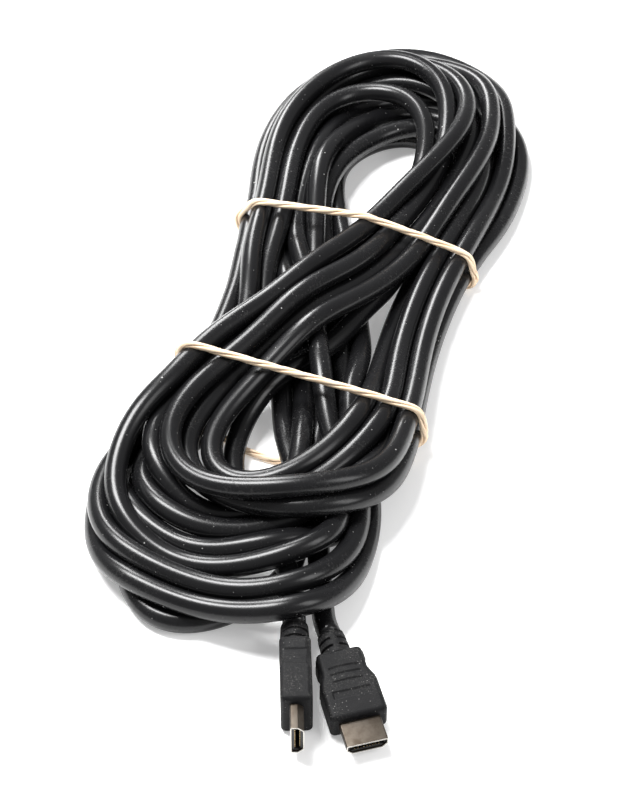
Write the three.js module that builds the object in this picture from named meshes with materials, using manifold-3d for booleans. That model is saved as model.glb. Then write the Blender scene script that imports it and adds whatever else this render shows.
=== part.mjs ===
// A long round-jacketed video cable, wound into a crossed hank and held by two rubber bands.
// Millimetres, +Z up. The hank's long axis is +Y and its two moulded plugs lie at the -Y end.
import * as THREE from 'three';
import { mergeVertices } from 'three/addons/utils/BufferGeometryUtils.js';
import Module from 'manifold-3d';

const wasm = await Module();
wasm.setup();

// Cable and winding
const cableDiameter = 8;
const clearance = 0.3;
const tubeSides = 12;
const bundleSides = 14;
const bundleStep = 14;

// Rubber bands: round in section here, and each goes once round the hank
const bandDiameter = 2.2;
const bandSides = 8;
const bandStep = 7;
const upperBandY = 76;
const lowerBandY = -9;
const lowerBandBackShift = 25;

// Plug: overmould, strain relief, shell and contacts
const mouldLength = 26.6;
const mouldWidth = 19.2;
const mouldRearWidth = 15.6;
const mouldThickness = 10.5;
const mouldEdge = 1.2;
const neckLength = 9.5;
const flareLength = 4;
const reliefLength = 9;
const reliefDiameter = 10.4;
const reliefWaist = 8.8;
const reliefRings = 3;
const shellWidth = 13.9;
const shellHeight = 4.45;
const shellCorner = 1.9;
const shellExposed = 9.5;
const shellSeated = 4;
const shellWall = 0.4;
const insertRecess = 0.8;
const insertLength = 11;
const slotWidth = 11.4;
const slotHeight = 2;
const slotDepth = 8.5;
const contactCount = 19;
const contactPitch = 1;
const contactWidth = 0.45;
const contactThickness = 0.2;
const contactLength = 6.5;
const contactClearance = 0.1;

// The middle of each plug's front face, its height, the way it points and how it is rolled
const plugs = [
  {
    side: 'right', front: [64.4, -133.6, mouldThickness / 2], heading: -54, roll: 0,
    route: [[33, -76, 5.2], [36, -86, 4.8], [39.2, -93, 4.8]],
  },
  {
    side: 'left', front: [45.5, -141.1, mouldWidth / 2], heading: -67.5, roll: 90,
    route: [[22, -80, 7.4], [25.4, -90, 8.2], [28.3, -98, 9.2]],
  },
];

// Bundles of neighbouring turns, each one oval in section: how many cables across and how many layers
// high, and the points that its middle follows
const bundles = [
  {
    name: 'top arch', across: 5.9, layers: 2,
    points: [[-48, 62, 10.6], [-52, 95, 10.6], [-54, 130, 9.6], [-49, 162, 8.4], [-31, 187, 8.1],
      [-5, 185, 8.1], [10, 160, 9], [16, 122, 10.4], [17, 84, 10.6]],
  },
  {
    name: 'right leg', across: 3.6, layers: 3,
    points: [[19, 128, 13], [22, 84, 14.6], [23, 40, 14.6], [25, 0, 14.6], [28, -42, 14.6]],
  },
  {
    name: 'left leg', across: 2.4, layers: 2,
    points: [[-53, 80, 10.6], [-49, 42, 10.6], [-46, 10, 10.6], [-47, -28, 10.6]],
  },
  {
    name: 'lower lobe', across: 3.6, layers: 2,
    points: [[-44, 10, 10.6], [-48, -42, 10.7], [-42, -70, 8.4], [-24, -94, 8.1], [0, -99, 8.1],
      [19, -91, 8.1], [31, -66, 8.4], [33, -42, 10.7], [30, 8, 10.7]],
  },
  {
    name: 'raised lobe', across: 3.2, layers: 2.2,
    points: [[-34, 0, 20], [-40, -35, 19.5], [-30, -62, 18.5], [-8, -74, 18], [14, -70, 18.5],
      [29, -50, 19], [32, -20, 19.5], [28, 12, 18]],
  },
  {
    name: 'diagonal', across: 4.8, layers: 1.9,
    points: [[12, 150, 13], [7, 115, 16], [-1, 80, 19.5], [-9, 40, 21], [-20, 5, 20.5], [-34, -32, 19.5]],
  },
  {
    name: 'centre', across: 3, layers: 1.5,
    points: [[-44, 84, 9], [-32, 50, 9], [-18, 15, 9], [-3, -20, 9], [8, -50, 8.5], [16, -82, 8.1]],
  },
];

const jacketMaterial = new THREE.MeshStandardMaterial({ color: 0x17181a, roughness: 0.42, metalness: 0 });
const mouldMaterial = new THREE.MeshStandardMaterial({ color: 0x1d1e20, roughness: 0.75, metalness: 0 });
const shellMaterial = new THREE.MeshStandardMaterial({ color: 0x8d877c, roughness: 0.34, metalness: 1 });
const insertMaterial = new THREE.MeshStandardMaterial({ color: 0x101012, roughness: 0.5, metalness: 0 });
const contactMaterial = new THREE.MeshStandardMaterial({ color: 0xc9a45c, roughness: 0.3, metalness: 1 });
const bandMaterial = new THREE.MeshStandardMaterial({ color: 0xead6b6, roughness: 0.6, metalness: 0 });

const vectors = (points) => points.map((p) => new THREE.Vector3(...p));

// A solid for cutting and joining, from a closed geometry
function solidOf(geometry) {
  const bare = geometry.clone();
  bare.deleteAttribute('normal');
  bare.deleteAttribute('uv');
  const merged = mergeVertices(bare, 1e-4);
  return new wasm.Manifold(new wasm.Mesh({
    numProp: 3,
    vertProperties: new Float32Array(merged.attributes.position.array),
    triVerts: new Uint32Array(merged.index.array),
  }));
}

function geometryOf(solid) {
  const mesh = solid.getMesh();
  const geometry = new THREE.BufferGeometry();
  geometry.setAttribute('position', new THREE.BufferAttribute(mesh.vertProperties, 3));
  geometry.setIndex(new THREE.BufferAttribute(mesh.triVerts, 1));
  geometry.computeVertexNormals();
  return geometry;
}

// An oval carried along a smooth curve: halfHigh lies across the curve upwards, halfWide sideways
function sweep(points, halfHigh, halfWide, sides, step) {
  const path = new THREE.CatmullRomCurve3(vectors(points), false, 'centripetal');
  const outline = new THREE.Shape();
  outline.absellipse(0, 0, halfHigh, halfWide, 0, Math.PI * 2);
  return new THREE.ExtrudeGeometry(outline, {
    extrudePath: path,
    steps: Math.ceil(path.getLength() / step),
    curveSegments: sides / 2,
  });
}

const cableTube = (points, growth = 0) => sweep(
  points, cableDiameter / 2 + growth, cableDiameter / 2 + growth, tubeSides, cableDiameter * 1.5,
);

// The plug's own frame: +Y out of its mouth, +X across its width, origin in the front face's middle
function plugGroup({ front, heading, roll }) {
  const group = new THREE.Group();
  group.position.set(...front);
  group.rotation.set(0, THREE.MathUtils.degToRad(roll), THREE.MathUtils.degToRad(heading - 90), 'ZYX');
  return group;
}

// Where the cable enters the strain relief, with the way it runs there
function cableEnd(plug) {
  const group = plugGroup(plug);
  group.updateMatrix();
  const rear = -mouldLength - reliefLength - clearance;
  const end = new THREE.Vector3(0, rear, 0).applyMatrix4(group.matrix);
  const before = new THREE.Vector3(0, rear - cableDiameter, 0).applyMatrix4(group.matrix);
  return [before.toArray(), end.toArray()];
}

const tailPoints = (plug) => [...plug.route, ...cableEnd(plug)];

// The overmould seen from above: a narrow neck that flares to the wide front
function mouldOutline() {
  const half = mouldWidth / 2 - mouldEdge;
  const rearHalf = mouldRearWidth / 2 - mouldEdge;
  const rear = -mouldLength + mouldEdge;
  const front = -mouldEdge;
  const outline = new THREE.Shape();
  outline.moveTo(-rearHalf + mouldEdge, rear);
  outline.lineTo(rearHalf - mouldEdge, rear);
  outline.quadraticCurveTo(rearHalf, rear, rearHalf, rear + mouldEdge);
  outline.lineTo(rearHalf, -mouldLength + neckLength);
  outline.lineTo(half, -mouldLength + neckLength + flareLength);
  outline.lineTo(half, front);
  outline.lineTo(-half, front);
  outline.lineTo(-half, -mouldLength + neckLength + flareLength);
  outline.lineTo(-rearHalf, -mouldLength + neckLength);
  outline.lineTo(-rearHalf, rear + mouldEdge);
  outline.quadraticCurveTo(-rearHalf, rear, -rearHalf + mouldEdge, rear);
  return outline;
}

// The shell's D section, wide side up, grown by the amount given
function shellOutline(growth) {
  const half = shellWidth / 2 + growth;
  const high = shellHeight / 2 + growth;
  const corner = shellCorner + growth / 2;
  const outline = new THREE.Shape();
  outline.moveTo(-half, high);
  outline.lineTo(-half, -high + corner);
  outline.lineTo(-half + corner, -high);
  outline.lineTo(half - corner, -high);
  outline.lineTo(half, -high + corner);
  outline.lineTo(half, high);
  outline.lineTo(-half, high);
  return outline;
}

// A flat outline in the plug's width and height, run along the plug from one place to another
function alongPlug(outline, from, to) {
  const geometry = new THREE.ExtrudeGeometry(outline, { depth: to - from, bevelEnabled: false });
  geometry.rotateX(Math.PI / 2);
  geometry.translate(0, to, 0);
  return geometry;
}

function rectangle(width, height) {
  const outline = new THREE.Shape();
  outline.moveTo(-width / 2, -height / 2);
  outline.lineTo(width / 2, -height / 2);
  outline.lineTo(width / 2, height / 2);
  outline.lineTo(-width / 2, height / 2);
  outline.lineTo(-width / 2, -height / 2);
  return outline;
}

// The strain relief: rings with waists between them, tapering a little towards the cable
function reliefGeometry() {
  const pitch = reliefLength / reliefRings;
  const ring = pitch * 0.6;
  const profile = [new THREE.Vector2(0, 0)];
  for (let i = 0; i < reliefRings; i += 1) {
    const radius = reliefDiameter / 2 - (i * (reliefDiameter - reliefWaist)) / (4 * reliefRings);
    profile.push(new THREE.Vector2(i === 0 ? radius : reliefWaist / 2, i * pitch));
    profile.push(new THREE.Vector2(radius, i * pitch + (i === 0 ? 0.1 : pitch - ring)));
    profile.push(new THREE.Vector2(radius, (i + 1) * pitch - (i === reliefRings - 1 ? 0 : 0.3)));
    if (i < reliefRings - 1) profile.push(new THREE.Vector2(reliefWaist / 2, (i + 1) * pitch - 0.1));
  }
  profile.push(new THREE.Vector2(0, reliefLength));
  const geometry = new THREE.LatheGeometry(profile, tubeSides * 2);
  geometry.rotateX(Math.PI);
  geometry.translate(0, -mouldLength + mouldEdge / 2, 0);
  return geometry;
}

function overmouldGeometry() {
  const body = new THREE.ExtrudeGeometry(mouldOutline(), {
    depth: mouldThickness - 2 * mouldEdge,
    bevelThickness: mouldEdge,
    bevelSize: mouldEdge,
    bevelSegments: 2,
    curveSegments: 3,
  });
  body.translate(0, 0, -mouldThickness / 2 + mouldEdge);
  const pocket = alongPlug(shellOutline(clearance), -shellSeated - clearance, mouldEdge);
  return geometryOf(solidOf(body).add(solidOf(reliefGeometry())).subtract(solidOf(pocket)));
}

function shellGeometry() {
  const outer = solidOf(alongPlug(shellOutline(0), -shellSeated, shellExposed));
  const inner = solidOf(alongPlug(shellOutline(-shellWall), -shellSeated - 1, shellExposed + 1));
  return geometryOf(outer.subtract(inner));
}

function insertGeometry() {
  const front = shellExposed - insertRecess;
  const body = solidOf(alongPlug(shellOutline(-shellWall - contactClearance), front - insertLength, front));
  const slot = solidOf(alongPlug(rectangle(slotWidth, slotHeight), front - slotDepth, front + 1));
  return geometryOf(body.subtract(slot));
}

// The contacts lie on the slot's upper and lower walls by turns, half a pitch apart
function addContacts(group, side) {
  const high = slotHeight / 2 - contactClearance - contactThickness / 2;
  const front = shellExposed - insertRecess - contactClearance;
  for (let i = 0; i < contactCount; i += 1) {
    const upper = i % 2 === 0;
    const contact = new THREE.Mesh(
      new THREE.BoxGeometry(contactWidth, contactLength, contactThickness), contactMaterial,
    );
    contact.name = `contact_${side}_${String(i + 1).padStart(2, '0')}`;
    contact.position.set(
      ((i - (contactCount - 1) / 2) * contactPitch) / 2, front - contactLength / 2, upper ? high : -high,
    );
    group.add(contact);
  }
}

function addMesh(group, name, geometry, material) {
  const mesh = new THREE.Mesh(geometry, material);
  mesh.name = name;
  group.add(mesh);
}

function makePlug(plug) {
  const group = plugGroup(plug);
  addMesh(group, `overmould_${plug.side}`, overmouldGeometry(), mouldMaterial);
  addMesh(group, `shell_${plug.side}`, shellGeometry(), shellMaterial);
  addMesh(group, `contact_insert_${plug.side}`, insertGeometry(), insertMaterial);
  addContacts(group, plug.side);
  return group;
}

// The hank: its bundles joined to one body, with a bore where each tail goes in
function hankSolid() {
  let solid = null;
  for (const { across, layers, points } of bundles) {
    const halfHigh = (layers * cableDiameter) / 2;
    const halfWide = (across * cableDiameter) / 2;
    const bundle = solidOf(sweep(points, halfHigh, halfWide, bundleSides, bundleStep));
    solid = solid ? solid.add(bundle) : bundle;
  }
  for (const plug of plugs) {
    solid = solid.subtract(solidOf(cableTube(tailPoints(plug), clearance)));
  }
  return solid;
}

// The convex outline, counter-clockwise, of points in a plane
function convexOutline(points) {
  const sorted = [...points].sort((a, b) => a.x - b.x || a.y - b.y);
  const turn = (o, a, b) => (a.x - o.x) * (b.y - o.y) - (a.y - o.y) * (b.x - o.x);
  const half = (list) => {
    const out = [];
    for (const p of list) {
      while (out.length > 1 && turn(out[out.length - 2], out[out.length - 1], p) <= 0) out.pop();
      out.push(p);
    }
    return out.slice(0, -1);
  };
  return [...half(sorted), ...half(sorted.reverse())];
}

// A band lies tight round the hank's section at its place. Under the hank it may run further back.
function bandGeometry(hank, y, backShift) {
  const reach = bandDiameter;
  const slab = new THREE.BoxGeometry(400, backShift + 2 * reach, 100);
  slab.translate(0, y - backShift / 2, 0);
  const section = hank.intersect(solidOf(slab)).getMesh().vertProperties;
  const flat = [];
  for (let i = 0; i < section.length; i += 3) flat.push(new THREE.Vector2(section[i], section[i + 2]));
  const hull = convexOutline(flat);
  const offset = bandDiameter / 2 + clearance;
  const path = [];
  hull.forEach((p, i) => {
    const q = hull[(i + 1) % hull.length];
    const side = q.clone().sub(p);
    const out = new THREE.Vector2(side.y, -side.x).normalize().multiplyScalar(offset);
    const pieces = Math.max(1, Math.ceil(side.length() / bandStep));
    for (let k = 0; k <= pieces; k += 1) path.push(p.clone().addScaledVector(side, k / pieces).add(out));
  });
  const low = Math.min(...path.map((p) => p.x));
  const high = Math.max(...path.map((p) => p.x));
  const middle = (Math.min(...path.map((p) => p.y)) + Math.max(...path.map((p) => p.y))) / 2;
  const points = path.map((p) => {
    const under = THREE.MathUtils.smoothstep(middle - p.y, 0, middle * 0.6);
    const along = Math.sin((Math.PI * (p.x - low)) / (high - low));
    return new THREE.Vector3(p.x, y - backShift * under * along, p.y);
  }).filter((p, i, all) => i === 0 || p.distanceTo(all[i - 1]) > 0.8);
  const loop = new THREE.CurvePath();
  points.forEach((p, i) => loop.add(new THREE.LineCurve3(p, points[(i + 1) % points.length])));
  const curve = new THREE.CatmullRomCurve3(points, true, 'centripetal');
  const steps = Math.ceil(curve.getLength() / (bandStep / 2));
  const tube = new THREE.TubeGeometry(curve, steps, bandDiameter / 2, bandSides, true);
  return geometryOf(solidOf(tube));
}

const cable = new THREE.Group();
const hank = hankSolid();
addMesh(cable, 'cable_hank', geometryOf(hank), jacketMaterial);
for (const plug of plugs) {
  addMesh(cable, `cable_tail_${plug.side}`, cableTube(tailPoints(plug)), jacketMaterial);
  cable.add(makePlug(plug));
}
addMesh(cable, 'rubber_band_upper', bandGeometry(hank, upperBandY, 0), bandMaterial);
addMesh(cable, 'rubber_band_lower', bandGeometry(hank, lowerBandY, lowerBandBackShift), bandMaterial);

// The origin is the middle of the whole object's footprint, on the surface that it lies on
const extent = new THREE.Box3().setFromObject(cable, true);
const middle = extent.getCenter(new THREE.Vector3());
cable.position.set(-middle.x, -middle.y, -extent.min.z);

export default cable;
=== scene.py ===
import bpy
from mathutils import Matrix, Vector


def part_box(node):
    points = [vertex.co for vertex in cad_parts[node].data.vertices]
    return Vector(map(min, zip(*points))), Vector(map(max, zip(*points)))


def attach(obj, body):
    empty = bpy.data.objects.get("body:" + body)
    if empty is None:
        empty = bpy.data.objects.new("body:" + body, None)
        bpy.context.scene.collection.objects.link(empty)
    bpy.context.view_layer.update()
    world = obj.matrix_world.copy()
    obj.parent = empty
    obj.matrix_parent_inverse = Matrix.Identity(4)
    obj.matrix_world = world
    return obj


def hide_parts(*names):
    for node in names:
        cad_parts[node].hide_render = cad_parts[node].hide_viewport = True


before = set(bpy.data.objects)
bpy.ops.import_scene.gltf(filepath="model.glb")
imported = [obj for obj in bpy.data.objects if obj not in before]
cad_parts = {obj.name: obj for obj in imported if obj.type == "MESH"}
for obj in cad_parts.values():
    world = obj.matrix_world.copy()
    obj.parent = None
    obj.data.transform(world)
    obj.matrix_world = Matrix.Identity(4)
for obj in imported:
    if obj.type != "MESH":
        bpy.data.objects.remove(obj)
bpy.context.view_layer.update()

import math

import bpy
import numpy as np

millimetre = 0.001
parts = {}  # the finished pieces by name

# The plan is in millimetres, with the same axes as the row and its zero near the hank's crossing. planShift
# moves it to the row's own place, which the CAD shell of the right plug gives.
plugs = {
    "right": {"front": (64.4, -133.6, 5.25), "heading": -54, "roll": 0,
              "tail": [(33, -76, 5.2), (36, -86, 4.8), (39.2, -93, 4.8)]},
    "left": {"front": (45.5, -141.1, 9.6), "heading": -67.5, "roll": 90,
             "tail": [(22, -80, 7.4), (25.4, -90, 8.2), (28.3, -98, 9.2)]},
}
mould = {"length": 26.6, "width": 19.2, "rearWidth": 15.6, "thickness": 10.5, "edge": 1.5, "corner": 1.7,
         "cornerLoss": 0.6, "flareFrom": 8.0, "flareLength": 6.2, "ringStep": 0.25, "flatSteps": 56,
         "arcSteps": 6}
relief = {"length": 9.0, "diameter": 10.4, "waist": 8.7, "rings": 3, "gap": 0.3, "overlap": 0.6,
          "taper": 0.55, "tipRound": 0.5, "firstSlot": 0.9, "slotMiddle": 0.62, "slotHalf": (0.2, 0.12),
          "slotExtra": 0.25, "webHalf": (0.3, 0.18), "rows": 110, "sides": 96}
shell = {"width": 13.9, "height": 4.45, "corner": 1.9, "exposed": 9.5, "seated": 4.0, "wall": 0.4,
         "round": 0.55, "outsideRows": 12, "rimPoints": 7, "arcPoints": 6}

shellBox = np.array(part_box("shell_right"))
shellHeading = math.radians(plugs["right"]["heading"])
shellReach = (shell["exposed"] - shell["seated"]) / 2
shellWay = np.array([math.cos(shellHeading), math.sin(shellHeading)])
shellPlan = np.array(plugs["right"]["front"][:2]) + shellReach * shellWay
planShift = np.append(shellBox.mean(axis=0)[:2] / millimetre - shellPlan, 0.0)


def toRow(points):
    # a point of the plan, moved by the shift and turned into metres
    return (np.asarray(points, float) + planShift) * millimetre


# The camera looks down on the hank from beyond the plugs
view = {"foot": (179.94, -480.3), "height": 550.0, "down": 47.0, "turned": 21.0, "lens": 90.0,
        "sensor": 36.0}


def addCamera():
    camera = bpy.data.cameras.new("camera")
    camera.sensor_fit = "VERTICAL"
    camera.sensor_height = view["sensor"]
    camera.sensor_width = view["sensor"]
    camera.lens = view["lens"]
    camera.clip_start = 0.01
    holder = bpy.data.objects.new("camera", camera)
    holder.location = toRow((*view["foot"], view["height"]))
    holder.rotation_euler = (math.radians(90 - view["down"]), 0.0, math.radians(view["turned"]))
    bpy.context.scene.collection.objects.link(holder)
    bpy.context.scene.camera = holder


addCamera()
print("camera set")


# A piece of mesh from points, faces and, where it has them, uv pairs for each corner
def addPiece(name, points, faces, uvs=None, smooth=True):
    mesh = bpy.data.meshes.new(name)
    mesh.from_pydata(points.tolist(), [], faces.tolist() if hasattr(faces, "tolist") else faces)
    if uvs is not None:
        layer = mesh.uv_layers.new(name="UVMap")
        layer.data.foreach_set("uv", np.asarray(uvs, "f").ravel())
    mesh.polygons.foreach_set("use_smooth", np.full(len(mesh.polygons), smooth))
    mesh.update()
    piece = bpy.data.objects.new(name, mesh)
    bpy.context.scene.collection.objects.link(piece)
    parts[name] = piece
    return piece


# The quads of a grid of rows by columns: a row closes on itself, and with loop the last row joins the first
def gridFaces(rows, columns, loop=False, flip=False):
    i, j = np.meshgrid(np.arange(rows if loop else rows - 1), np.arange(columns), indexing="ij")
    nextRow, nextColumn = (i + 1) % rows, (j + 1) % columns
    quads = np.stack([i * columns + j, i * columns + nextColumn, nextRow * columns + nextColumn,
                      nextRow * columns + j], -1).reshape(-1, 4)
    return quads[:, ::-1] if flip else quads


# The rubber bands' places: the slope is how far a band runs up the hank for each millimetre to the right
bands = {
    "upper": {"y": 74.0, "slope": 0.09, "backShift": 0.0, "lead": 30.0, "turn": 0.4},
    "lower": {"y": -15.0, "slope": 0.1, "backShift": 20.0, "lead": 34.0, "turn": 1.3},
}

# How far out the middles of the strands lie where the hank is held in: at the bands and between them
holds = [
    {"y": 74.0, "slope": 0.09, "left": -57.0, "right": 32.0, "top": 26.5},
    {"y": 46.0, "slope": 0.08, "left": -51.5, "right": 32.0, "top": 28.0},
    {"y": 20.0, "slope": 0.07, "left": -46.0, "right": 36.0, "top": 28.0},
    {"y": -15.0, "slope": 0.1, "left": -44.5, "right": 41.0, "top": 27.5},
]

# A strand's points are read where it shows on the level called readHeight, each with its own height
cable = {"diameter": 8.0, "readHeight": 15.0, "step": 4.0, "fine": 2, "sides": 18, "stepsInPlug": 5,
         "bandLift": 2.5, "liftFrom": -75, "liftTo": 145, "liftEase": 55}

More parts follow.
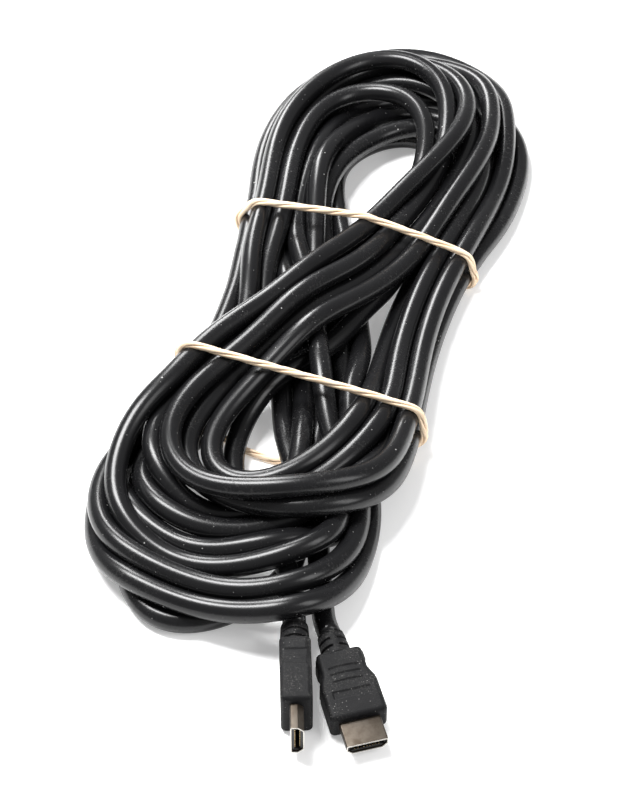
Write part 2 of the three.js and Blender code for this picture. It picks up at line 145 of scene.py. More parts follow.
strands = {
    # middle strands, left to right, that cross under the diagonals
    "Ma": [(24, -66, 4.3), (13, -54, 4.4), (4, -41, 5), (-2, -29, 6), (-7, -17, 6.5), (-13, -2, 6.5),
           (-19, 14, 6.5), (-25, 30, 6.5), (-31, 48, 6.5)],
    "Mb": [(19, -72, 4.2), (15, -55, 4.8), (11, -42, 5.8), (6, -29, 6.5), (1, -16, 7), (-5, -2, 8),
           (-12, 14, 9), (-22, 32, 9), (-33, 50, 7)],
    "Mc": [(34, -58, 6.5), (24, -46, 10), (16, -33, 12.5), (10, -20, 13), (4, -6, 13), (-4, 9, 13),
           (-13, 25, 13), (-22, 42, 13)],
    "Md": [(31, -60, 10), (25, -49, 11), (19, -38, 7), (13, -25, 6.5), (7, -10, 6.5), (0, 5, 6.5),
           (-8, 22, 6.5), (-16, 40, 7)],
    "Me": [(41, -72, 6), (36, -59, 6), (28, -47, 6.5), (21, -34, 6.7), (15, -18, 6.5), (10, -2, 7),
           (4, 12, 10), (-5, 27, 13), (-14, 44, 13)],
    "Mf": [(37, -58, 11), (31, -46, 13), (24, -35, 13), (18, -21, 12), (14, -6, 10), (9.5, 9, 7),
           (3, 22, 6.5), (-6, 38, 6.5), (-14, 56, 6.5)],
    # left leg
    "L3b": [(-36, 66, 6.5), (-40, 84, 6.5), (-44, 102, 6.5), (-48.5, 120, 7), (-53, 138, 8.5),
            (-55, 152, 11.5), (-54, 164, 14)],
    "L4": [(-32, 60, 13), (-38.5, 78, 13), (-43.5, 96, 13), (-46.5, 114, 13), (-47.5, 132, 12.5),
           (-46.5, 147, 10.5), (-40, 158, 8.5)],
    "L5b": [(-43, 40, 12), (-46, 58, 12), (-50.5, 78, 12.5), (-55, 98, 12.5), (-59, 118, 13),
            (-61, 137, 13.5), (-60, 154, 14)],
    "L5": [(-26, 58, 15), (-32, 76, 16.5), (-36, 94, 17), (-38.5, 112, 17), (-38, 130, 16),
           (-34.5, 146, 14), (-29, 157, 12)],
    "L3": [(-39, 42, 17), (-41, 58, 19), (-44, 76, 19.5), (-48.5, 94, 20), (-53.5, 112, 20),
           (-57, 129, 20), (-57.8, 143, 20), (-54.5, 156, 20)],
    "L11": [(-44, 64, 6.5), (-48, 82, 6.5), (-52, 101, 6.5), (-56, 120, 6.5), (-56.5, 140, 7),
            (-51, 158, 8)],
    "L2": [(-46.5, 40, 17.5), (-49, 58, 18), (-53, 78, 18.5), (-58, 97, 19), (-62.5, 116, 19),
           (-64.8, 136, 19.5), (-63.5, 154, 20.5)],
    "L1b": [(-50, 42, 6.5), (-53, 62, 6.5), (-56, 80, 6.5), (-60.5, 102, 6.5), (-64.5, 122, 6.5),
            (-65.5, 142, 6.5), (-62, 162, 6.5)],
    "L6": [(-22, 60, 10), (-29, 80, 11), (-33, 96, 11), (-34.5, 112, 11), (-32.5, 123, 11),
           (-28.5, 132, 10.5), (-22, 140, 10.5)],
    "L1": [(-51.5, 44, 12.5), (-55.5, 62, 12.5), (-59.5, 80, 12.5), (-63.5, 99, 12.5), (-66.3, 119, 12.5),
           (-66.5, 139, 12.5), (-63.5, 158, 12.5)],
    "L7": [(-24, 72, 5.5), (-30.5, 90, 5), (-33.5, 104, 4.3), (-32.5, 116, 4.1), (-28, 127, 4.1),
           (-22, 134, 4.1)],
    # arches over the top
    "a3": [(-45, 174, 15), (-33, 180.5, 15.5), (-20, 181, 15.5), (-7, 176, 15), (3, 166, 14.5)],
    "a7": [(-26, 165, 7), (-10, 169, 5.5), (6, 169, 4.5), (20, 163.5, 4.2), (29.5, 153.5, 4.2),
           (35, 139, 4.3), (36, 121, 5), (34, 101, 7), (31.5, 81, 9)],
    "a5": [(-54, 170, 15), (-44, 181, 16), (-31, 186.5, 17), (-18, 187, 18), (-6, 182, 19.5),
           (1.5, 173, 21.5), (4.5, 163, 23.5)],
    "a8": [(-17, 163, 11), (-3, 163, 10), (9, 158, 10), (18, 148, 11), (22.5, 133, 13), (23, 115, 15),
           (21.5, 95, 16.5), (20.5, 75, 17)],
    "a2": [(-46, 166, 20.5), (-35, 169.5, 21), (-23, 166.5, 21), (-13, 157.5, 20.5), (-6, 146, 20)],
    "a11": [(-40, 171, 8), (-24, 177, 8), (-8, 176, 8), (6, 168, 8.5), (15, 155, 9), (20, 138, 9),
            (23, 120, 9)],
    "a1": [(-59.5, 171, 22), (-51, 184, 23.5), (-40, 192, 24), (-27, 194, 24), (-16, 187.5, 24),
           (-9, 176, 24), (-5.5, 163, 23), (-2.5, 150, 22)],
    "a6": [(-53, 181, 6.5), (-39, 192, 6.5), (-22, 196.5, 6.5), (-5, 193.5, 6.5), (6.5, 184, 6.5),
           (16, 170, 7), (22.5, 154, 8), (27, 136, 10), (29, 116, 12), (28.5, 96, 14), (27.5, 76, 15.5)],
    "a9": [(-14, 145, 10), (-4, 147, 9), (5, 144, 8.5), (11, 134, 8.5), (14, 118, 9), (15.5, 98, 9.5),
           (15, 76, 9.5)],
    "a4": [(-55, 175, 13), (-41, 188, 13), (-26, 194.5, 13.5), (-11, 193, 14), (1, 186, 15),
           (10.5, 172, 16)],
    "a10": [(-12, 139.5, 4.1), (-2, 141, 4.2), (8, 137, 5), (13.5, 125, 6), (14, 110, 6.5), (13, 92, 6.8),
            (11.5, 74, 7)],
    # diagonals, bottom to top
    "D1": [(-51.3, -38, 21), (-46.5, -20, 22.5), (-41.5, -4, 23), (-36.5, 9, 24), (-31.5, 23, 25),
           (-26.5, 38, 25.5), (-21.5, 53, 26), (-17, 68, 26), (-13, 83, 26), (-9, 98, 26),
           (-5.5, 112, 26), (-1.5, 126, 26), (1.7, 139, 26), (4, 152, 25)],
    "D2": [(-45, -29, 19), (-40.5, -13, 19.5), (-35, 3, 19.5), (-29, 19, 19.5), (-22.5, 36, 20),
           (-16.5, 53, 20), (-11.5, 69, 20), (-7.5, 87, 19.5), (-4, 105, 19), (-1.5, 121, 18.5),
           (-2, 134, 19)],
    "D3": [(-42.5, -25, 26), (-37.5, -9, 27), (-31, 7, 27), (-24, 23, 26), (-17, 39, 26),
           (-10.5, 55, 25.5), (-5, 72, 25), (-1.5, 90, 23.5), (1, 110, 22), (2.5, 126, 21),
           (0.5, 139, 21)],
    "D4": [(-36, -25, 19.5), (-31, -10, 19.5), (-24, 5, 19.5), (-17, 20, 20), (-9.5, 38, 20),
           (-2.5, 55, 19.5), (3, 72, 19), (8, 92, 18), (11, 112, 16.5), (12, 132, 15), (10, 150, 14)],
    "D5": [(-27, -30, 23), (-22, -14, 23.5), (-16, 4, 24), (-9, 22, 24), (-2, 40, 23.5), (5, 58, 22.5),
           (10.5, 76, 22), (14.5, 97, 20), (17, 115, 19), (18.3, 133, 18), (16, 155, 17)],
    "D6": [(-15.5, -42, 6), (-14.5, -27, 7), (-12, -11, 8.5), (-7.5, 5, 10.5), (-2, 22, 13),
           (4, 40, 13.5), (8, 57, 12)],
    # right leg
    "RLc": [(42, -38, 16.5), (41.5, -23, 15), (39, -8, 14), (36, 8, 13), (33.5, 25, 12), (31.5, 42, 11),
            (31, 60, 10)],
    "RLa": [(22.5, -47, 17), (27, -34, 18), (27.5, -19, 19), (26, -2, 20), (24, 17, 19.5),
            (22.5, 36, 18.5), (21, 55, 18)],
    "RLm": [(33, -47, 14), (33, -31, 14.5), (31, -15, 14), (28.5, 2, 12.5), (26.5, 20, 10.5), (25, 40, 9),
            (24, 60, 8), (23.5, 80, 8), (23.5, 100, 9)],
    "RLb": [(37, -34, 24), (36, -20, 23), (33.5, -3, 21.5), (31, 16, 20), (29, 36, 18), (27.5, 56, 17)],
    "RL1": [(17.5, -43, 14.5), (20.5, -28, 14), (20, -8, 13), (18, 15, 12), (16, 35, 11), (15, 55, 10)],
    # outer left strands that run down to the lobe
    "LO1": [(-53, -57, 11.5), (-49.5, -38, 12.5), (-45, -18, 13.5), (-43, 2, 13.5), (-45.5, 22, 13.5)],
    "LO2": [(-53, -58, 4.5), (-50, -38, 5.5), (-45, -18, 6.5), (-43, 2, 6.5), (-45.5, 22, 6.5)],
    "LO3": [(-46, -53, 15), (-41, -34, 14), (-36.5, -14, 13.5), (-36, 5, 14), (-40.5, 22, 17)],
    "LO4": [(-46, -55, 7), (-42, -36, 6.5), (-36.5, -16, 6.5), (-35, 4, 6.5), (-37.5, 22, 8)],
    "LO5": [(-39.5, -76, 4.2), (-38.5, -62, 4.5), (-33, -45, 6), (-28, -25, 6.5), (-27, -5, 6.5),
            (-31, 15, 8), (-36, 29, 12)],
    # arcs of the lower lobe
    "OJr": [(-37, -40, 19), (-33, -53, 18.5), (-24, -62, 18), (-10, -67, 18), (4, -68, 18),
            (18, -66, 18.5), (31, -60.5, 18.5), (39, -51, 18)],
    "OK1": [(-44, -70, 9), (-36, -83, 9), (-24, -91, 9), (-10, -95, 8.5), (4, -94, 8), (17, -88, 7.5),
            (28, -77, 7), (33, -66, 7)],
    "OA": [(-53, -54, 20), (-50.5, -70, 19), (-44.5, -84, 17.5), (-34, -94, 16), (-22, -98.5, 15),
           (-9, -98.5, 14), (4, -95.5, 13.5), (16, -89, 13), (26, -80, 12), (31, -69, 11)],
    "OJl": [(-48, -45, 20), (-46, -59, 19.5), (-38, -69, 18.5), (-26, -74, 17), (-12, -73.5, 15),
            (1, -67, 13.5), (13, -57.5, 14.5)],
    "OQ": [(-39, -90, 4.1), (-36.5, -102, 4.1), (-31, -113, 4.1), (-21.5, -121.5, 4.1), (-10, -125, 4.1),
           (0, -123, 4.1), (9, -115, 4.1), (15.5, -103, 4.1), (19, -89, 4.1)],
    "OE": [(-45, -68, 14.5), (-37, -77, 15), (-25, -83, 15.5), (-11, -83.5, 16), (3, -79, 15.5),
           (16, -71.5, 14.5), (27, -60, 14)],
    "OB": [(-44.5, -41, 25), (-41.5, -53, 25), (-32, -60.5, 25.5), (-19, -63.5, 25.5), (-5, -63.5, 25.5),
           (9, -61, 25.5), (22.5, -55.5, 25.5), (32.5, -46.5, 25)],
    "ON": [(-53, -74, 4.5), (-49, -89, 4.5), (-41, -102, 4.5), (-30, -109.5, 5), (-16, -114.5, 6),
           (-1, -115.5, 8), (13, -113.5, 11.5), (26.5, -109.5, 17), (37, -99.5, 15), (43, -86, 11)],
    "OC": [(-27.5, -43, 22), (-22, -53.5, 20), (-12, -59, 16), (0, -59.5, 14), (10, -53, 14)],
    "OF": [(-53.5, -73, 11), (-49.5, -87, 10.5), (-41.5, -98, 10.5), (-30, -105.5, 11), (-15, -110, 11),
           (0, -110.5, 11.5), (13, -107, 12.5), (25, -99.5, 14), (34, -88, 14), (39, -74, 13)],
    # the left plug's tail, top to bottom
    "T6": [(-13.5, -56, 5), (-6.5, -66, 4.6), (4, -72, 4.8), (14, -75, 5.6)],
}

order = """Ma L3b a3 -D4 OJr RLc -a7 -L4 -Mc -OK1 LO4 L5b a5 -D1 OA Md L5 a8 -RLa -OJl D2 -a2 -L3
-LO5 OQ Mb L11 a11 -RLm -OE LO3 L2 a1 -D3 OB RLb -a6 -L1b -LO2 ON Me L6 a9 -RL1 -OC D5 -a4 -L1 -LO1 OF
Mf L7 a10 -D6 T6""".split()


# Moves a read point along its line of sight from the reading level to its own height
def truePoints(points):
    p = np.array(points, float)
    foot = np.array(view["foot"])
    share = (view["height"] - p[:, 2:]) / (view["height"] - cable["readHeight"])
    return np.hstack([foot + (p[:, :2] - foot) * share, p[:, 2:]])


def plugTurn(plug):
    # the plug's own axes as columns: across its width, out of its mouth, through its thickness
    roll, yaw = math.radians(plug["roll"]), math.radians(plug["heading"] - 90)
    across, through = math.cos(roll), math.sin(roll)
    rolled = np.array([[across, 0, through], [0, 1, 0], [-through, 0, across]])
    yawed = np.array([[math.cos(yaw), -math.sin(yaw), 0], [math.sin(yaw), math.cos(yaw), 0], [0, 0, 1]])
    return yawed @ rolled


def inPlug(plug, points):
    return np.asarray(points, float) @ plugTurn(plug).T + np.array(plug["front"])


# The tail's own route, with its last points in line with the strain relief. It runs on inside the plug for
# a few steps, so that the turns over a plug rest on it while the cable settles.
def tailRoute(plug):
    rear = -mould["length"] - relief["length"] - relief["gap"]
    inside = rear + cable["stepsInPlug"] * cable["step"]
    ends = inPlug(plug, [(0, rear - cable["diameter"], 0), (0, rear, 0), (0, inside, 0)])
    return np.vstack([np.array(plug["tail"], float), ends])


# A centripetal curve through the points, then points on it at even steps
def evenCurve(points, step):
    p = np.vstack([2 * points[0] - points[1], points, 2 * points[-1] - points[-2]])
    knots = np.r_[0, np.cumsum(np.sqrt(np.linalg.norm(np.diff(p, axis=0), axis=1)))]
    stepsPerPoint = 12
    share = np.linspace(0, 1, stepsPerPoint, endpoint=False)[None, :, None]
    a, b, c, e = p[:-3, None], p[1:-2, None], p[2:-1, None], p[3:, None]
    ta, tb, tc, te = (knots[k:len(knots) - 3 + k, None, None] for k in range(4))
    t = tb + (tc - tb) * share
    ab = (tb - t) / (tb - ta) * a + (t - ta) / (tb - ta) * b
    bc = (tc - t) / (tc - tb) * b + (t - tb) / (tc - tb) * c
    ce = (te - t) / (te - tc) * c + (t - tc) / (te - tc) * e
    abc = (tc - t) / (tc - ta) * ab + (t - ta) / (tc - ta) * bc
    bce = (te - t) / (te - tb) * bc + (t - tb) / (te - tb) * ce
    line = np.vstack([((tc - t) / (tc - tb) * abc + (t - tb) / (tc - tb) * bce).reshape(-1, 3), p[-2:-1]])
    return resample(line, step)


def resample(line, step):
    run = np.r_[0, np.cumsum(np.linalg.norm(np.diff(line, axis=0), axis=1))]
    at = np.linspace(0, run[-1], int(round(run[-1] / step)) + 1)
    return np.stack([np.interp(at, run, line[:, k]) for k in range(3)], 1)


def tangents(line):
    t = np.gradient(line, axis=0)
    return t / np.linalg.norm(t, axis=1)[:, None]


# The lowest height of the cable's middle: on the ground, and a little higher where the bands run under it
def restHeight(line):
    rise = np.clip((line[:, 1] - cable["liftFrom"]) / cable["liftEase"], 0, 1)
    fall = np.clip((cable["liftTo"] - line[:, 1]) / cable["liftEase"], 0, 1)
    ease = (3 * rise ** 2 - 2 * rise ** 3) * (3 * fall ** 2 - 2 * fall ** 3)
    return cable["diameter"] / 2 + cable["bandLift"] * ease


# The values of the settling: push, pull, smooth and the shares say how much of a fault each round takes away
settling = {"rounds": 240, "pairsEvery": 12, "near": 7, "stepsApart": 7, "touch": 0.6, "push": 1.6,
            "spread": 2, "smoothRounds": 28, "smooth": 0.22, "pull": (0.012, 0.012, 0.004), "sink": 0.03,
            "holdReach": 12, "holdShare": 0.5, "linkRounds": 2, "linkShare": 0.25, "held": 3}


# Which points of the line may touch each other: near in space, and not near along the cable
def nearPairs(line):
    first, second = [], []
    number = np.arange(len(line))
    atOnce = 400
    for start in range(0, len(line), atOnce):
        gap = np.linalg.norm(line[start:start + atOnce, None] - line[None], axis=2)
        i, j = np.nonzero(gap < cable["diameter"] + settling["near"])
        apart = np.abs(i + start - number[j]) > settling["stepsApart"]
        first.append(i[apart] + start)
        second.append(j[apart])
    return np.concatenate(first), np.concatenate(second)


# Settling: strands that lie in each other are pushed apart, the cable stays smooth, keeps its length,
# comes down a little each round, is held in at the bands, rests on the ground and is drawn back a little
# towards the route that was read
def settle(route):
    line, home = route.copy(), route.copy()
    fixed = cable["stepsInPlug"] + settling["held"]
    diameter, step = cable["diameter"], cable["step"]
    pull = np.array(settling["pull"])
    for turn in range(settling["rounds"]):
        if turn % settling["pairsEvery"] == 0:
            first, second = nearPairs(line)
        t = tangents(line)
        reach = line[first] - line[second]
        along = np.sum(reach * t[second], axis=1)
        across = reach - along[:, None] * t[second]
        distance = np.linalg.norm(across, axis=1) + 1e-9
        hit = (np.abs(along) < step * settling["touch"]) & (distance < diameter)
        push = across[hit] / distance[hit, None] * (diameter - distance[hit, None]) * 0.5
        moved, count = np.zeros_like(line), np.zeros(len(line))
        np.add.at(moved, first[hit], push)
        np.add.at(moved, second[hit], -push)
        np.add.at(count, first[hit], 1)
        np.add.at(count, second[hit], 1)
        moved /= np.maximum(count, 1)[:, None]
        for _ in range(settling["spread"]):
            moved[1:-1] = (moved[:-2] + 2 * moved[1:-1] + moved[2:]) / 4
        line = line + moved * settling["push"]
        for _ in range(settling["smoothRounds"]):
            bend, change = np.zeros_like(line), np.zeros_like(line)
            bend[1:-1] = (line[:-2] + line[2:]) / 2 - line[1:-1]
            change[1:-1] = (bend[:-2] + bend[2:]) / 2 - bend[1:-1]
            line = line - change * settling["smooth"]
        line += (home - line) * pull
        line[:, 2] -= settling["sink"]
        for hold in holds:
            off = (line[:, 1:2] - hold["y"] - hold["slope"] * line[:, :1]) / settling["holdReach"]
            low, high = (hold["left"], -math.inf, 0), (hold["right"], math.inf, hold["top"])
            line += (np.clip(line, low, high) - line) * np.exp(-off ** 2) * settling["holdShare"]
        for _ in range(settling["linkRounds"]):
            link = line[1:] - line[:-1]
            size = np.linalg.norm(link, axis=1)
            fix = link * ((size - step) / size * settling["linkShare"])[:, None]
            line[:-1] += fix
            line[1:] -= fix
        line[:, 2] = np.maximum(line[:, 2], restHeight(line))
        line[:fixed] = home[:fixed]
        line[-fixed:] = home[-fixed:]
    return line


def cableRoute():
    read = []
    for name in order:
        points = strands[name.lstrip("-")]
        read.append(truePoints(points[::-1] if name[0] == "-" else points))
    start, end = tailRoute(plugs["right"])[::-1], tailRoute(plugs["left"])
    return np.vstack([start, *read, end])


def cableLine():
    settled = settle(evenCurve(cableRoute(), cable["step"]))
    return evenCurve(settled[cable["stepsInPlug"]:-cable["stepsInPlug"]], cable["step"] / cable["fine"])


# A tube: circles of the cable's radius, square to the line, with a flat cap at each end
def tubePiece(name, line, radius, sides):
    t = tangents(line)
    side = np.cross(t, (0.0, 0.0, 1.0))
    side /= np.linalg.norm(side, axis=1)[:, None]
    rise = np.cross(side, t)
    angle = np.arange(sides) / sides * 2 * math.pi
    ring = side[:, None] * np.cos(angle)[None, :, None] + rise[:, None] * np.sin(angle)[None, :, None]
    points = (line[:, None] + ring * radius).reshape(-1, 3)
    quads = gridFaces(len(line), sides, flip=True)
    last = len(points) - 1
    faces = quads.tolist() + [list(range(sides)), list(range(last, last - sides, -1))]
    run = np.arange(len(line)) * (cable["step"] / cable["fine"]) * millimetre
    columns = quads % sides
    rows = quads // sides
    seam = (columns == 0) & (columns.max(axis=1, keepdims=True) == sides - 1)
    around = np.where(seam, sides, columns) / sides
    uvs = np.stack([around, run[rows]], -1).reshape(-1, 2)
    uvs = np.vstack([uvs, np.zeros((2 * sides, 2))])
    return addPiece(name, toRow(points), faces, uvs)


line = cableLine()
jacket = tubePiece("cable_jacket", line, cable["diameter"] / 2, cable["sides"])

# A rubber band: three flat cords twisted round each other, flattened a little on the hank
rubber = {"cords": 3, "wide": 1.95, "thick": 1.35, "apart": 0.95, "flat": 0.74, "sides": 12, "step": 0.8,
          "lowest": 1.6, "bite": 0.35, "sliceHalf": 2.5, "directions": 720, "smoothRounds": 4,
          "underShare": 0.6, "wobbles": ((0.35, 3), (0.2, 7))}


# The way of a tight band: in each direction, the strand that reaches furthest, plus its radius
def bandWay(band):
    off = np.abs(line[:, 1] - band["y"] - band["slope"] * line[:, 0])
    section = line[off < rubber["sliceHalf"]][:, [0, 2]]
    angle = np.arange(rubber["directions"]) / rubber["directions"] * 2 * math.pi
    outward = np.stack([np.cos(angle), np.sin(angle)], 1)
    furthest = section[np.argmax(section @ outward.T, axis=0)]
    deep = (rubber["apart"] + rubber["thick"] * rubber["bite"]) * rubber["flat"]
    hull = furthest + outward * (cable["diameter"] / 2 + deep)
    closed = np.vstack([hull, hull[:1]])
    run = np.r_[0, np.cumsum(np.linalg.norm(np.diff(closed, axis=0), axis=1))]
    count = int(run[-1] / rubber["step"])
    at = np.arange(count) / count * run[-1]
    way = np.stack([np.interp(at, run, closed[:, k]) for k in range(2)], 1)
    for _ in range(rubber["smoothRounds"]):
        way = (np.roll(way, 1, axis=0) + 2 * way + np.roll(way, -1, axis=0)) / 4
    height = np.maximum(way[:, 1], rubber["lowest"])
    low, high = way[:, 0].min(), way[:, 0].max()
    middle = (height.min() + height.max()) / 2
    under = np.clip((middle - height) / (middle * rubber["underShare"]), 0, 1)
    under = under ** 2 * (3 - 2 * under)
    y = band["y"] + band["slope"] * way[:, 0]
    y -= band["backShift"] * under * np.sin(math.pi * (way[:, 0] - low) / (high - low))
    return np.stack([way[:, 0], y, height], 1), run[-1]


# The cords of a band: flat ovals whose middles circle the band's way once in each lead
def bandPiece(name, band):
    way, length = bandWay(band)
    t = np.roll(way, -1, axis=0) - np.roll(way, 1, axis=0)
    t /= np.linalg.norm(t, axis=1)[:, None]
    side = np.cross(t, np.cross((0.0, 1.0, 0.0), t))
    side = np.cross(t, side / np.linalg.norm(side, axis=1)[:, None])
    lift = np.cross(side, t)
    turns = round(length / band["lead"])
    run = np.arange(len(way)) / len(way)
    (slow, slowTurns), (quick, quickTurns) = rubber["wobbles"]
    wobble = slow * np.sin(2 * math.pi * run * slowTurns + band["turn"])
    wobble += quick * np.sin(2 * math.pi * run * quickTurns)
    twist = 2 * math.pi * run * turns + band["turn"] + wobble
    sides = rubber["sides"]
    angle = np.arange(sides) / sides * 2 * math.pi
    points, faces, uvs = [], [], []
    for cord in range(rubber["cords"]):
        phase = twist + cord * 2 * math.pi / rubber["cords"]
        out, turned = np.cos(phase)[:, None], np.sin(phase)[:, None]
        wide = np.cos(angle)[None] * rubber["wide"] / 2
        deep = np.sin(angle)[None] * rubber["thick"] / 2 + rubber["apart"]
        across = (deep * out - wide * turned)[..., None] * side[:, None]
        upwards = (deep * turned + wide * out)[..., None] * lift[:, None] * rubber["flat"]
        points.append((way[:, None] + across + upwards).reshape(-1, 3))
        quads = gridFaces(len(way), sides, loop=True)
        rows, columns = quads // sides, quads % sides
        uvs.append(np.stack([columns / sides, rows * rubber["step"] * millimetre], -1).reshape(-1, 2))
        faces.append(quads + cord * len(way) * sides)
    return addPiece(name, toRow(np.vstack(points)), np.vstack(faces), np.vstack(uvs))


for name, band in bands.items():
    bandPiece("band_" + name, band)
print("bands made")


# A closed outline of a rounded rectangle: for every point, the share of the half sizes less the corner
# radius, and the way the corner radius points
def roundedTemplate(flatSteps, arcSteps):
    corner, outward = [], []
    for quarter in range(4):
        arc = (quarter + np.linspace(0, 1, arcSteps + 1)) * math.pi / 2
        sign = (1 if quarter in (0, 3) else -1, 1 if quarter < 2 else -1)
        corner.append(np.tile(sign, (arcSteps + 1, 1)).astype(float))
        outward.append(np.stack([np.cos(arc), np.sin(arc)], 1))
        follow = (quarter + 1) % 4
        nextSign = (1 if follow in (0, 3) else -1, 1 if follow < 2 else -1)
        share = (np.arange(1, flatSteps) / flatSteps)[:, None]
        corner.append(np.array(sign) * (1 - share) + np.array(nextSign) * share)
        middle = (quarter + 1) * math.pi / 2
        outward.append(np.tile((math.cos(middle), math.sin(middle)), (flatSteps - 1, 1)))
    return np.vstack(corner), np.vstack(outward)


def easeStep(value, low, high):
    t = np.clip((value - low) / (high - low), 0, 1)
    return t * t * (3 - 2 * t)


# The overmould's grip: bowed grooves and a plain recessed plate on the broad faces, ridges on the narrow
grip = {"grooves": (-19.6, -17.0, -14.1), "grooveWidth": 0.75, "grooveDepth": 0.45, "grooveHalf": 4.8,
        "grooveBow": 0.012, "grooveEase": 0.4, "plate": (-10.2, -7.4), "plateHalf": 6.4, "plateDepth": 0.5,
        "plateEase": (0.12, 0.1), "ridges": (-22.9, -16.2), "ridgeHalf": 1.7, "ridgeEdge": 0.7,
        "ridgeInset": 0.2, "ridgeHeight": 0.4, "ridgeSpan": 3.4, "faceFrom": (0.9, 0.99)}


# How deep the overmould is cut at a place on the plug: x across, y along, z through, and the way out of it.
# A groove is half an ellipse deep, the plate is flat, and a ridge counts as a cut below nought.
def cutDepth(x, y, z, outward):
    broad = easeStep(np.abs(outward[:, 1])[None] * np.ones_like(x), *grip["faceFrom"])
    narrow = easeStep(np.abs(outward[:, 0])[None] * np.ones_like(x), *grip["faceFrom"])
    depth = np.zeros_like(x)
    for middle in grip["grooves"]:
        bow = middle + grip["grooveBow"] * x ** 2
        across = np.clip(1 - ((y - bow) / (grip["grooveWidth"] / 2)) ** 2, 0, 1)
        ends = easeStep(-np.abs(x), -grip["grooveHalf"] - grip["grooveEase"], -grip["grooveHalf"])
        depth = np.maximum(depth, grip["grooveDepth"] * np.sqrt(across) * ends)
    low, high = grip["plate"]
    sideEase, endEase = grip["plateEase"]
    inside = easeStep(y, low - endEase, low + endEase) * easeStep(-y, -high - endEase, -high + endEase)
    inside = inside * easeStep(-np.abs(x), -grip["plateHalf"] - sideEase, -grip["plateHalf"] + sideEase)
    depth = np.maximum(depth, grip["plateDepth"] * inside) * broad
    for middle in grip["ridges"]:
        foot, top = -grip["ridgeHalf"] - grip["ridgeEdge"], -grip["ridgeHalf"] + grip["ridgeInset"]
        pad = easeStep(-np.abs(y - middle), foot, top)
        pad = pad * easeStep(-np.abs(z), -grip["ridgeSpan"] - grip["grooveEase"], -grip["ridgeSpan"])
        depth = depth - grip["ridgeHeight"] * pad * narrow
    return depth


# The overmould: rounded rectangles along the plug's axis. Its half width is that of the rear, then of the
# flare, then of the front, less the grip's cuts. Both ends shrink by a quarter circle.
def mouldSurface():
    edge, length = mould["edge"], mould["length"]
    body = np.arange(-length + edge, -edge, mould["ringStep"])
    arc = np.linspace(0, math.pi / 2, mould["arcSteps"] + 1)
    y = np.r_[-length + edge * (1 - np.sin(arc)), body[1:], -edge + edge * np.sin(arc)]
    y = np.unique(np.round(y, 4))
    rear = np.clip((-length + edge - y) / edge, 0, 1)
    front = np.clip((y + edge) / edge, 0, 1)
    shrink = edge * (1 - np.sqrt(np.clip(1 - rear ** 2, 0, 1)))
    shrink += edge * (1 - np.sqrt(np.clip(1 - front ** 2, 0, 1)))
    flareStart = -length + mould["flareFrom"]
    widen = easeStep(y, flareStart, flareStart + mould["flareLength"])
    half = mould["rearWidth"] / 2 + (mould["width"] - mould["rearWidth"]) / 2 * widen - shrink
    high = mould["thickness"] / 2 - shrink
    corner, outward = roundedTemplate(mould["flatSteps"], mould["arcSteps"])
    radius = mould["corner"] - shrink * mould["cornerLoss"]
    x = corner[None, :, 0] * (half - radius)[:, None] + outward[None, :, 0] * radius[:, None]
    z = corner[None, :, 1] * (high - radius)[:, None] + outward[None, :, 1] * radius[:, None]
    yy = np.repeat(y[:, None], x.shape[1], axis=1)
    depth = cutDepth(x, yy, z, outward)
    x = x - outward[None, :, 0] * depth
    z = z - outward[None, :, 1] * depth
    return np.stack([x, yy, z], -1)


# Closes a loft's two ends with a fan of faces to their middles
def closeLoft(points):
    rows, columns = points.shape[:2]
    flat = np.vstack([points.reshape(-1, 3), points[0].mean(axis=0), points[-1].mean(axis=0)])
    quads = gridFaces(rows, columns).tolist()
    j = np.arange(columns)
    k = (j + 1) % columns
    start = np.stack([np.full(columns, rows * columns), k, j], 1)
    last = (rows - 1) * columns
    end = np.stack([np.full(columns, rows * columns + 1), last + j, last + k], 1)
    return flat, quads + start.tolist() + end.tolist()


# The strain relief: a turned body that tapers backwards, with a rounded tip. Its slots stop at a web along
# the top and the bottom, and its front runs into the overmould.
def reliefSurface():
    pitch = relief["length"] / relief["rings"]
    start = -mould["length"] + relief["overlap"]
    along = np.linspace(0, relief["length"] + relief["overlap"], relief["rows"])
    angle = np.arange(relief["sides"]) / relief["sides"] * 2 * math.pi
    taper = relief["diameter"] / 2 - relief["taper"] * (along / relief["length"])
    phase = (along - relief["firstSlot"]) / pitch
    outer, inner = relief["slotHalf"]
    slot = easeStep(-np.abs(phase % 1.0 - relief["slotMiddle"]), -outer, -inner)
    slot = slot * (phase > 0) * (phase < relief["rings"])
    outer, inner = relief["webHalf"]
    slotted = 1 - easeStep(-np.abs(np.cos(angle)), -outer, -inner)
    deep = taper - relief["waist"] / 2 + relief["slotExtra"]
    radius = taper[:, None] - slot[:, None] * slotted[None] * deep[:, None]
    tip = np.clip((along - relief["length"]) / relief["overlap"], 0, 1)
    radius = radius - (relief["tipRound"] * (1 - np.sqrt(np.clip(1 - tip ** 2, 0, 1))))[:, None]
    y = np.repeat((start - along)[:, None], relief["sides"], axis=1)
    points = np.stack([np.cos(angle)[None] * radius, y, np.sin(angle)[None] * radius], -1)
    return points[::-1]


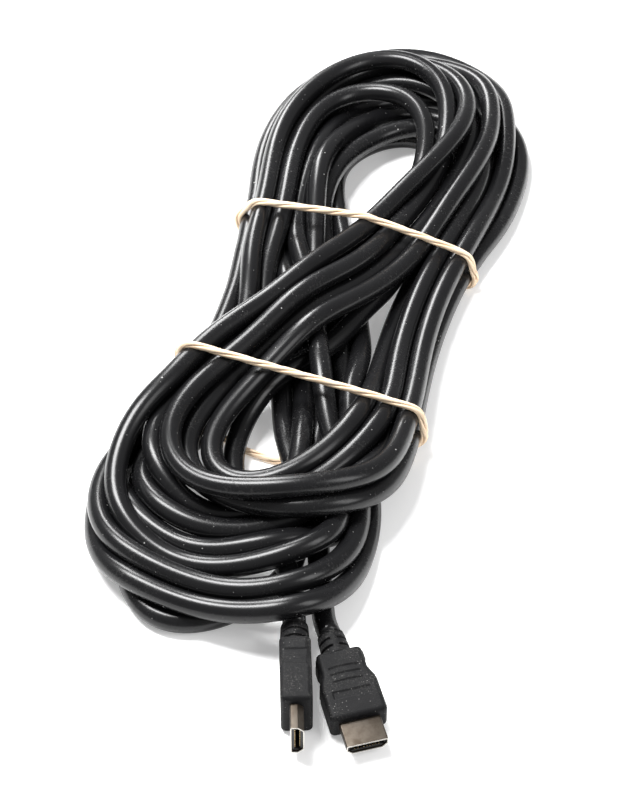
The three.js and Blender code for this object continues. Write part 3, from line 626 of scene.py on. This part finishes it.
# The shell's outline: a rectangle with its two lower corners cut, drawn as corner middles and directions
def shellOutline(shrink):
    half = shell["width"] / 2 - shell["round"]
    high = shell["height"] / 2 - shell["round"]
    cut = shell["width"] / 2 + shell["height"] / 2 - shell["corner"] - shell["round"] * math.sqrt(2)
    corners = [(half, high, 0, 90), (-half, high, 90, 180), (-half, half - cut, 180, 225),
               (high - cut, -high, 225, 270), (cut - high, -high, 270, 315), (half, half - cut, 315, 360)]
    radius = shell["round"] - shrink
    middles, ways = [], []
    for x, z, start, end in corners:
        arc = np.radians(np.linspace(start, end, shell["arcPoints"]))
        middles.append(np.tile((x, z), (shell["arcPoints"], 1)))
        ways.append(np.stack([np.cos(arc), np.sin(arc)], 1))
    return np.vstack(middles) + np.vstack(ways) * radius


# The shell: its outside run forwards, a rounded rim, and its inside run back
def shellSurface():
    half, front = shell["wall"] / 2, shell["exposed"] - shell["wall"] / 2
    rim = np.linspace(0, math.pi, shell["rimPoints"])
    outside = np.linspace(-shell["seated"], front, shell["outsideRows"])
    rows = [(y, 0.0) for y in outside[:-1]]
    rows += [(front + half * math.sin(turn), half * (1 - math.cos(turn))) for turn in rim]
    rows += [(y, shell["wall"]) for y in outside[-2::-1]]
    rings = []
    for y, shrink in rows:
        outline = shellOutline(shrink)
        rings.append(np.stack([outline[:, 0], np.full(len(outline), y), outline[:, 1]], 1))
    return np.array(rings)


# A plug: the overmould with its strain relief, and the shell, whose rim takes the shell's second material, a
# lighter plating that paints a highlight on the rim
def makePlug(side, plug):
    body, faces = closeLoft(mouldSurface())
    tube, tubeFaces = closeLoft(reliefSurface())
    faces = faces + [[index + len(body) for index in face] for face in tubeFaces]
    addPiece("mould_" + side, toRow(inPlug(plug, np.vstack([body, tube]))), faces)
    rings = shellSurface()
    ringFaces = gridFaces(rings.shape[0], rings.shape[1], loop=True)
    metal = addPiece("plug_shell_" + side, toRow(inPlug(plug, rings.reshape(-1, 3))), ringFaces)
    # the rim's rows take the lighter plating: a painted highlight
    row = np.arange(len(ringFaces)) // rings.shape[1]
    rimStart = shell["outsideRows"] - 1
    bright = (row >= rimStart) & (row < rimStart + shell["rimPoints"] - 1)
    metal.data.materials.append(None)
    metal.data.materials.append(None)
    metal.data.polygons.foreach_set("material_index", bright.astype("i"))


for side, plug in plugs.items():
    makePlug(side, plug)
print("plugs made")


# One shader socket: arithmetic on it adds the Math nodes
class Wire:
    def __init__(self, finish, socket):
        self.finish = finish
        self.socket = socket

    def math(self, operation, first, second):
        return self.finish.node("ShaderNodeMath", {"operation": operation}, {0: first, 1: second})

    def __add__(self, other):
        return self.math("ADD", self, other)

    def __mul__(self, other):
        return self.math("MULTIPLY", self, other)

    def __lt__(self, other):
        return self.math("LESS_THAN", self, other)

    __radd__ = __add__
    __rmul__ = __mul__


# A material: constants go straight onto the shader's sockets, and one method adds every other node
class Finish:
    def __init__(self, name, constants):
        self.material = bpy.data.materials.new(name)
        self.material.use_nodes = True
        self.tree = self.material.node_tree
        self.shader = self.tree.nodes["Principled BSDF"]
        for socket, value in constants.items():
            self.shader.inputs[socket].default_value = value

    def node(self, kind, settings=None, sockets=None, output=0):
        node = self.tree.nodes.new(kind)
        for key, value in (settings or {}).items():
            setattr(node, key, value)
        for key, value in (sockets or {}).items():
            if isinstance(value, Wire):
                self.tree.links.new(value.socket, node.inputs[key])
            else:
                node.inputs[key].default_value = value
        return Wire(self, node.outputs[output])

    def feed(self, socket, wire):
        self.tree.links.new(wire.socket, self.shader.inputs[socket])

    def place(self):
        return self.node("ShaderNodeTexCoord", output="Object")

    def noise(self, scale, detail=2.0, rough=0.5, vector=None):
        sockets = {"Vector": vector or self.place(), "Scale": scale, "Detail": detail, "Roughness": rough}
        return self.node("ShaderNodeTexNoise", None, sockets, "Fac")

    def ramp(self, wire, low, high):
        return self.node("ShaderNodeMapRange", {"interpolation_type": "SMOOTHSTEP"},
                         {"Value": wire, "From Min": low, "From Max": high})

    def mix(self, amount, first, second):
        return self.node("ShaderNodeMix", {"data_type": "RGBA"}, {0: amount, 6: first, 7: second}, 2)

    def bump(self, height, distance, strength):
        sockets = {"Height": height, "Distance": distance, "Strength": strength}
        return self.node("ShaderNodeBump", None, sockets)

    # Small round specks of dust: cells of a fine pattern, few of them filled, smaller than the cell
    def specks(self, scale, size, share, seedShift=0.0):
        vector = self.place()
        if seedShift:
            vector = self.node("ShaderNodeMapping", None, {"Vector": vector, "Location": (seedShift,) * 3})
        cells = {"Vector": vector, "Scale": scale}
        distance = self.node("ShaderNodeTexVoronoi", None, cells, "Distance")
        colour = self.node("ShaderNodeTexVoronoi", None, cells, "Color")
        chosen = self.node("ShaderNodeSeparateColor", None, {"Color": colour}, 0) < share
        return self.ramp(distance, size, size * 0.55) * chosen


# The jacket: black and half glossy, with a fine handled haze and dust
def jacketFinish():
    finish = Finish("cable_jacket", {"IOR": 1.45, "Specular IOR Level": 0.32})
    haze = finish.noise(38.0, 4.0, 0.6)
    fine = finish.noise(900.0, 2.0, 0.6)
    dust = finish.specks(260.0, 0.085, 0.06) + finish.specks(640.0, 0.13, 0.16, 0.31) * 0.5
    dusty = finish.ramp(finish.noise(60.0, 3.0, 0.6), 0.45, 0.75)
    film = finish.ramp(fine, 0.52, 0.8) * dusty
    dark = finish.mix(haze, (0.0035, 0.0035, 0.004, 1), (0.007, 0.007, 0.0075, 1))
    filmed = finish.mix(film * 0.25, dark, (0.09, 0.088, 0.084, 1))
    finish.feed("Base Color", finish.mix(dust, filmed, (0.32, 0.32, 0.31, 1)))
    finish.feed("Roughness", 0.2 + haze * 0.12 + film * 0.2 + dust * 0.3)
    finish.feed("Normal", finish.bump(fine + dust * 2.0, 0.00002, 0.5))
    return finish.material


# The overmould: matt black with a fine grain, a handled film and dust
def mouldFinish():
    finish = Finish("overmould", {"IOR": 1.45, "Specular IOR Level": 0.13})
    grain = finish.noise(1900.0, 2.0, 0.7)
    cloud = finish.noise(90.0, 4.0, 0.65)
    dust = finish.specks(420.0, 0.1, 0.06) + finish.specks(1100.0, 0.2, 0.2, 0.47) * 0.45
    film = finish.ramp(grain, 0.5, 0.7) * finish.ramp(cloud, 0.36, 0.66)
    dark = finish.mix(cloud, (0.0035, 0.0035, 0.004, 1), (0.008, 0.008, 0.0085, 1))
    filmed = finish.mix(film * 0.55, dark, (0.075, 0.073, 0.069, 1))
    finish.feed("Base Color", finish.mix(dust, filmed, (0.3, 0.29, 0.28, 1)))
    finish.feed("Roughness", 0.5 + grain * 0.16)
    finish.feed("Normal", finish.bump(grain + cloud * 0.6, 0.00012, 0.9))
    return finish.material


# The shell: dull nickel, handled and a little brown in places
def shellFinish():
    finish = Finish("plug_shell", {"Metallic": 1.0})
    cloud = finish.noise(140.0, 5.0, 0.65)
    fine = finish.noise(1400.0, 3.0, 0.7)
    tone = finish.mix(finish.ramp(cloud, 0.35, 0.7), (0.075, 0.064, 0.053, 1), (0.042, 0.033, 0.025, 1))
    finish.feed("Base Color", tone)
    finish.feed("Roughness", 0.38 + cloud * 0.14 + fine * 0.08)
    finish.feed("Normal", finish.bump(fine, 0.00001, 0.4))
    return finish.material


# The shell's rim: the plating given a much lighter colour than the rest of the shell, a painted highlight on
# the rounded rim
def rimHighlightFinish():
    finish = Finish("shell_rim_painted_highlight", {"Metallic": 1.0})
    fine = finish.noise(1400.0, 2.0, 0.6)
    # a light plating colour that paints the rim's highlight
    finish.feed("Base Color", finish.mix(fine, (0.42, 0.4, 0.37, 1), (0.62, 0.6, 0.56, 1)))
    finish.feed("Roughness", 0.3 + fine * 0.1)
    return finish.material


# The insert that carries the contacts: plain black plastic
def insertFinish():
    finish = Finish("contact_insert", {"Specular IOR Level": 0.4})
    grain = finish.noise(1500.0, 2.0)
    finish.feed("Base Color", finish.mix(grain, (0.01, 0.01, 0.011, 1), (0.02, 0.019, 0.019, 1)))
    finish.feed("Roughness", 0.4 + grain * 0.2)
    return finish.material


# The contacts: gilt, a little uneven
def contactFinish():
    finish = Finish("contact", {"Metallic": 1.0})
    cloud = finish.noise(700.0, 2.0)
    finish.feed("Base Color", finish.mix(cloud, (0.42, 0.3, 0.15, 1), (0.55, 0.42, 0.24, 1)))
    finish.feed("Roughness", 0.2 + cloud * 0.14)
    return finish.material


# Natural rubber: cream, a little darker in places at random, with lighter streaks along the cords, dusty and
# matt
def bandFinish():
    finish = Finish("rubber_band", {"IOR": 1.5, "Specular IOR Level": 0.35})
    cloud = finish.noise(160.0, 4.0, 0.6)
    grain = finish.noise(1600.0, 3.0, 0.7)
    along = finish.node("ShaderNodeTexCoord", output="UV")
    streak = finish.node("ShaderNodeMapping", None, {"Vector": along, "Scale": (9.0, 60.0, 1.0)})
    lines = finish.noise(1.0, 3.0, 0.6, streak)
    warm = finish.mix(finish.ramp(cloud, 0.3, 0.7), (0.83, 0.66, 0.48, 1), (0.7, 0.51, 0.34, 1))
    finish.feed("Base Color", finish.mix(finish.ramp(lines, 0.4, 0.75) * 0.5, warm, (0.9, 0.78, 0.62, 1)))
    finish.feed("Roughness", 0.5 + grain * 0.18)
    finish.feed("Normal", finish.bump(grain + lines * 2.0, 0.00006, 0.6))
    return finish.material


finishes = {
    "cable_jacket": jacketFinish(), "overmould": mouldFinish(), "plug_shell": shellFinish(),
    "contact_insert": insertFinish(), "contact": contactFinish(), "rubber_band": bandFinish(),
}
# the shell rim's material, which paints a highlight on the rim
rim = rimHighlightFinish()
print("finishes made")


# Gives a piece its first material and its slot, and has it ride on the root
def dress(piece, slotName):
    if len(piece.data.materials) == 0:
        piece.data.materials.append(None)
    piece.data.materials[0] = finishes[slotName]
    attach(piece, "root")


dress(jacket, "cable_jacket")
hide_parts("cable_hank", "cable_tail_right", "cable_tail_left")
for side in plugs:
    dress(parts["mould_" + side], "overmould")
    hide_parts("overmould_" + side)
    dress(parts["plug_shell_" + side], "plug_shell")
    # the rim takes the lighter plating: a painted highlight
    parts["plug_shell_" + side].data.materials[1] = rim
    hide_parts("shell_" + side)
for name in bands:
    dress(parts["band_" + name], "rubber_band")
    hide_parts("rubber_band_" + name)
for name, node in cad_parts.items():
    for start, slotName in (("contact_insert", "contact_insert"), ("contact_", "contact")):
        if name.startswith(start):
            for materialSlot in node.material_slots:
                materialSlot.material = finishes[slotName]
            break

leftPieces = [parts["mould_left"], parts["plug_shell_left"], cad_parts["contact_insert_left"]]
leftPieces += [node for name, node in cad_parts.items() if name.startswith("contact_left")]
print("pieces ride and replace")


# Soft light from above, a long strip for the strands' highlights, and a weak light from the right
lamps = {
    "top": {"place": (-340, 20, 760), "size": (260, 420), "power": 17.0},
    "strip": {"place": (-420, 560, 460), "size": (160, 500), "power": 7.0},
    "side": {"place": (640, -120, 520), "size": (300, 500), "power": 3.0},
}


def addLamp(name, lamp):
    light = bpy.data.lights.new(name, "AREA")
    light.shape = "RECTANGLE"
    light.size, light.size_y = (side * millimetre for side in lamp["size"])
    light.energy = lamp["power"]
    holder = bpy.data.objects.new(name, light)
    holder.location = toRow(lamp["place"])
    aim = -np.array(lamp["place"], float)
    tilt = math.acos(-aim[2] / np.linalg.norm(aim))
    holder.rotation_euler = (tilt, 0.0, math.atan2(aim[1], aim[0]) - math.pi / 2)
    bpy.context.scene.collection.objects.link(holder)


# The ground: a white sheet just under the object that shines a little, so that it stays white
sheet = {"half": 3.0, "height": -0.0002, "white": 0.86, "shine": 0.28}


def addGround():
    half, z = sheet["half"], sheet["height"]
    points = np.array([(-half, -half, z), (half, -half, z), (half, half, z), (-half, half, z)])
    ground = addPiece("ground", points, [[0, 1, 2, 3]], smooth=False)
    finish = Finish("ground", {"Base Color": (*[sheet["white"]] * 3, 1), "Roughness": 0.9,
                               "Specular IOR Level": 0.1, "Emission Color": (1, 1, 1, 1),
                               "Emission Strength": sheet["shine"]})
    ground.data.materials.append(finish.material)


for name, lamp in lamps.items():
    addLamp(name, lamp)
addGround()
world = bpy.data.worlds.new("studio")
world.use_nodes = True
sky = world.node_tree.nodes["Background"]
sky.inputs["Color"].default_value = (1, 1, 1, 1)
sky.inputs["Strength"].default_value = 0.4
bpy.context.scene.world = world
bpy.context.scene.view_settings.view_transform = "Standard"
print("lights and ground set")
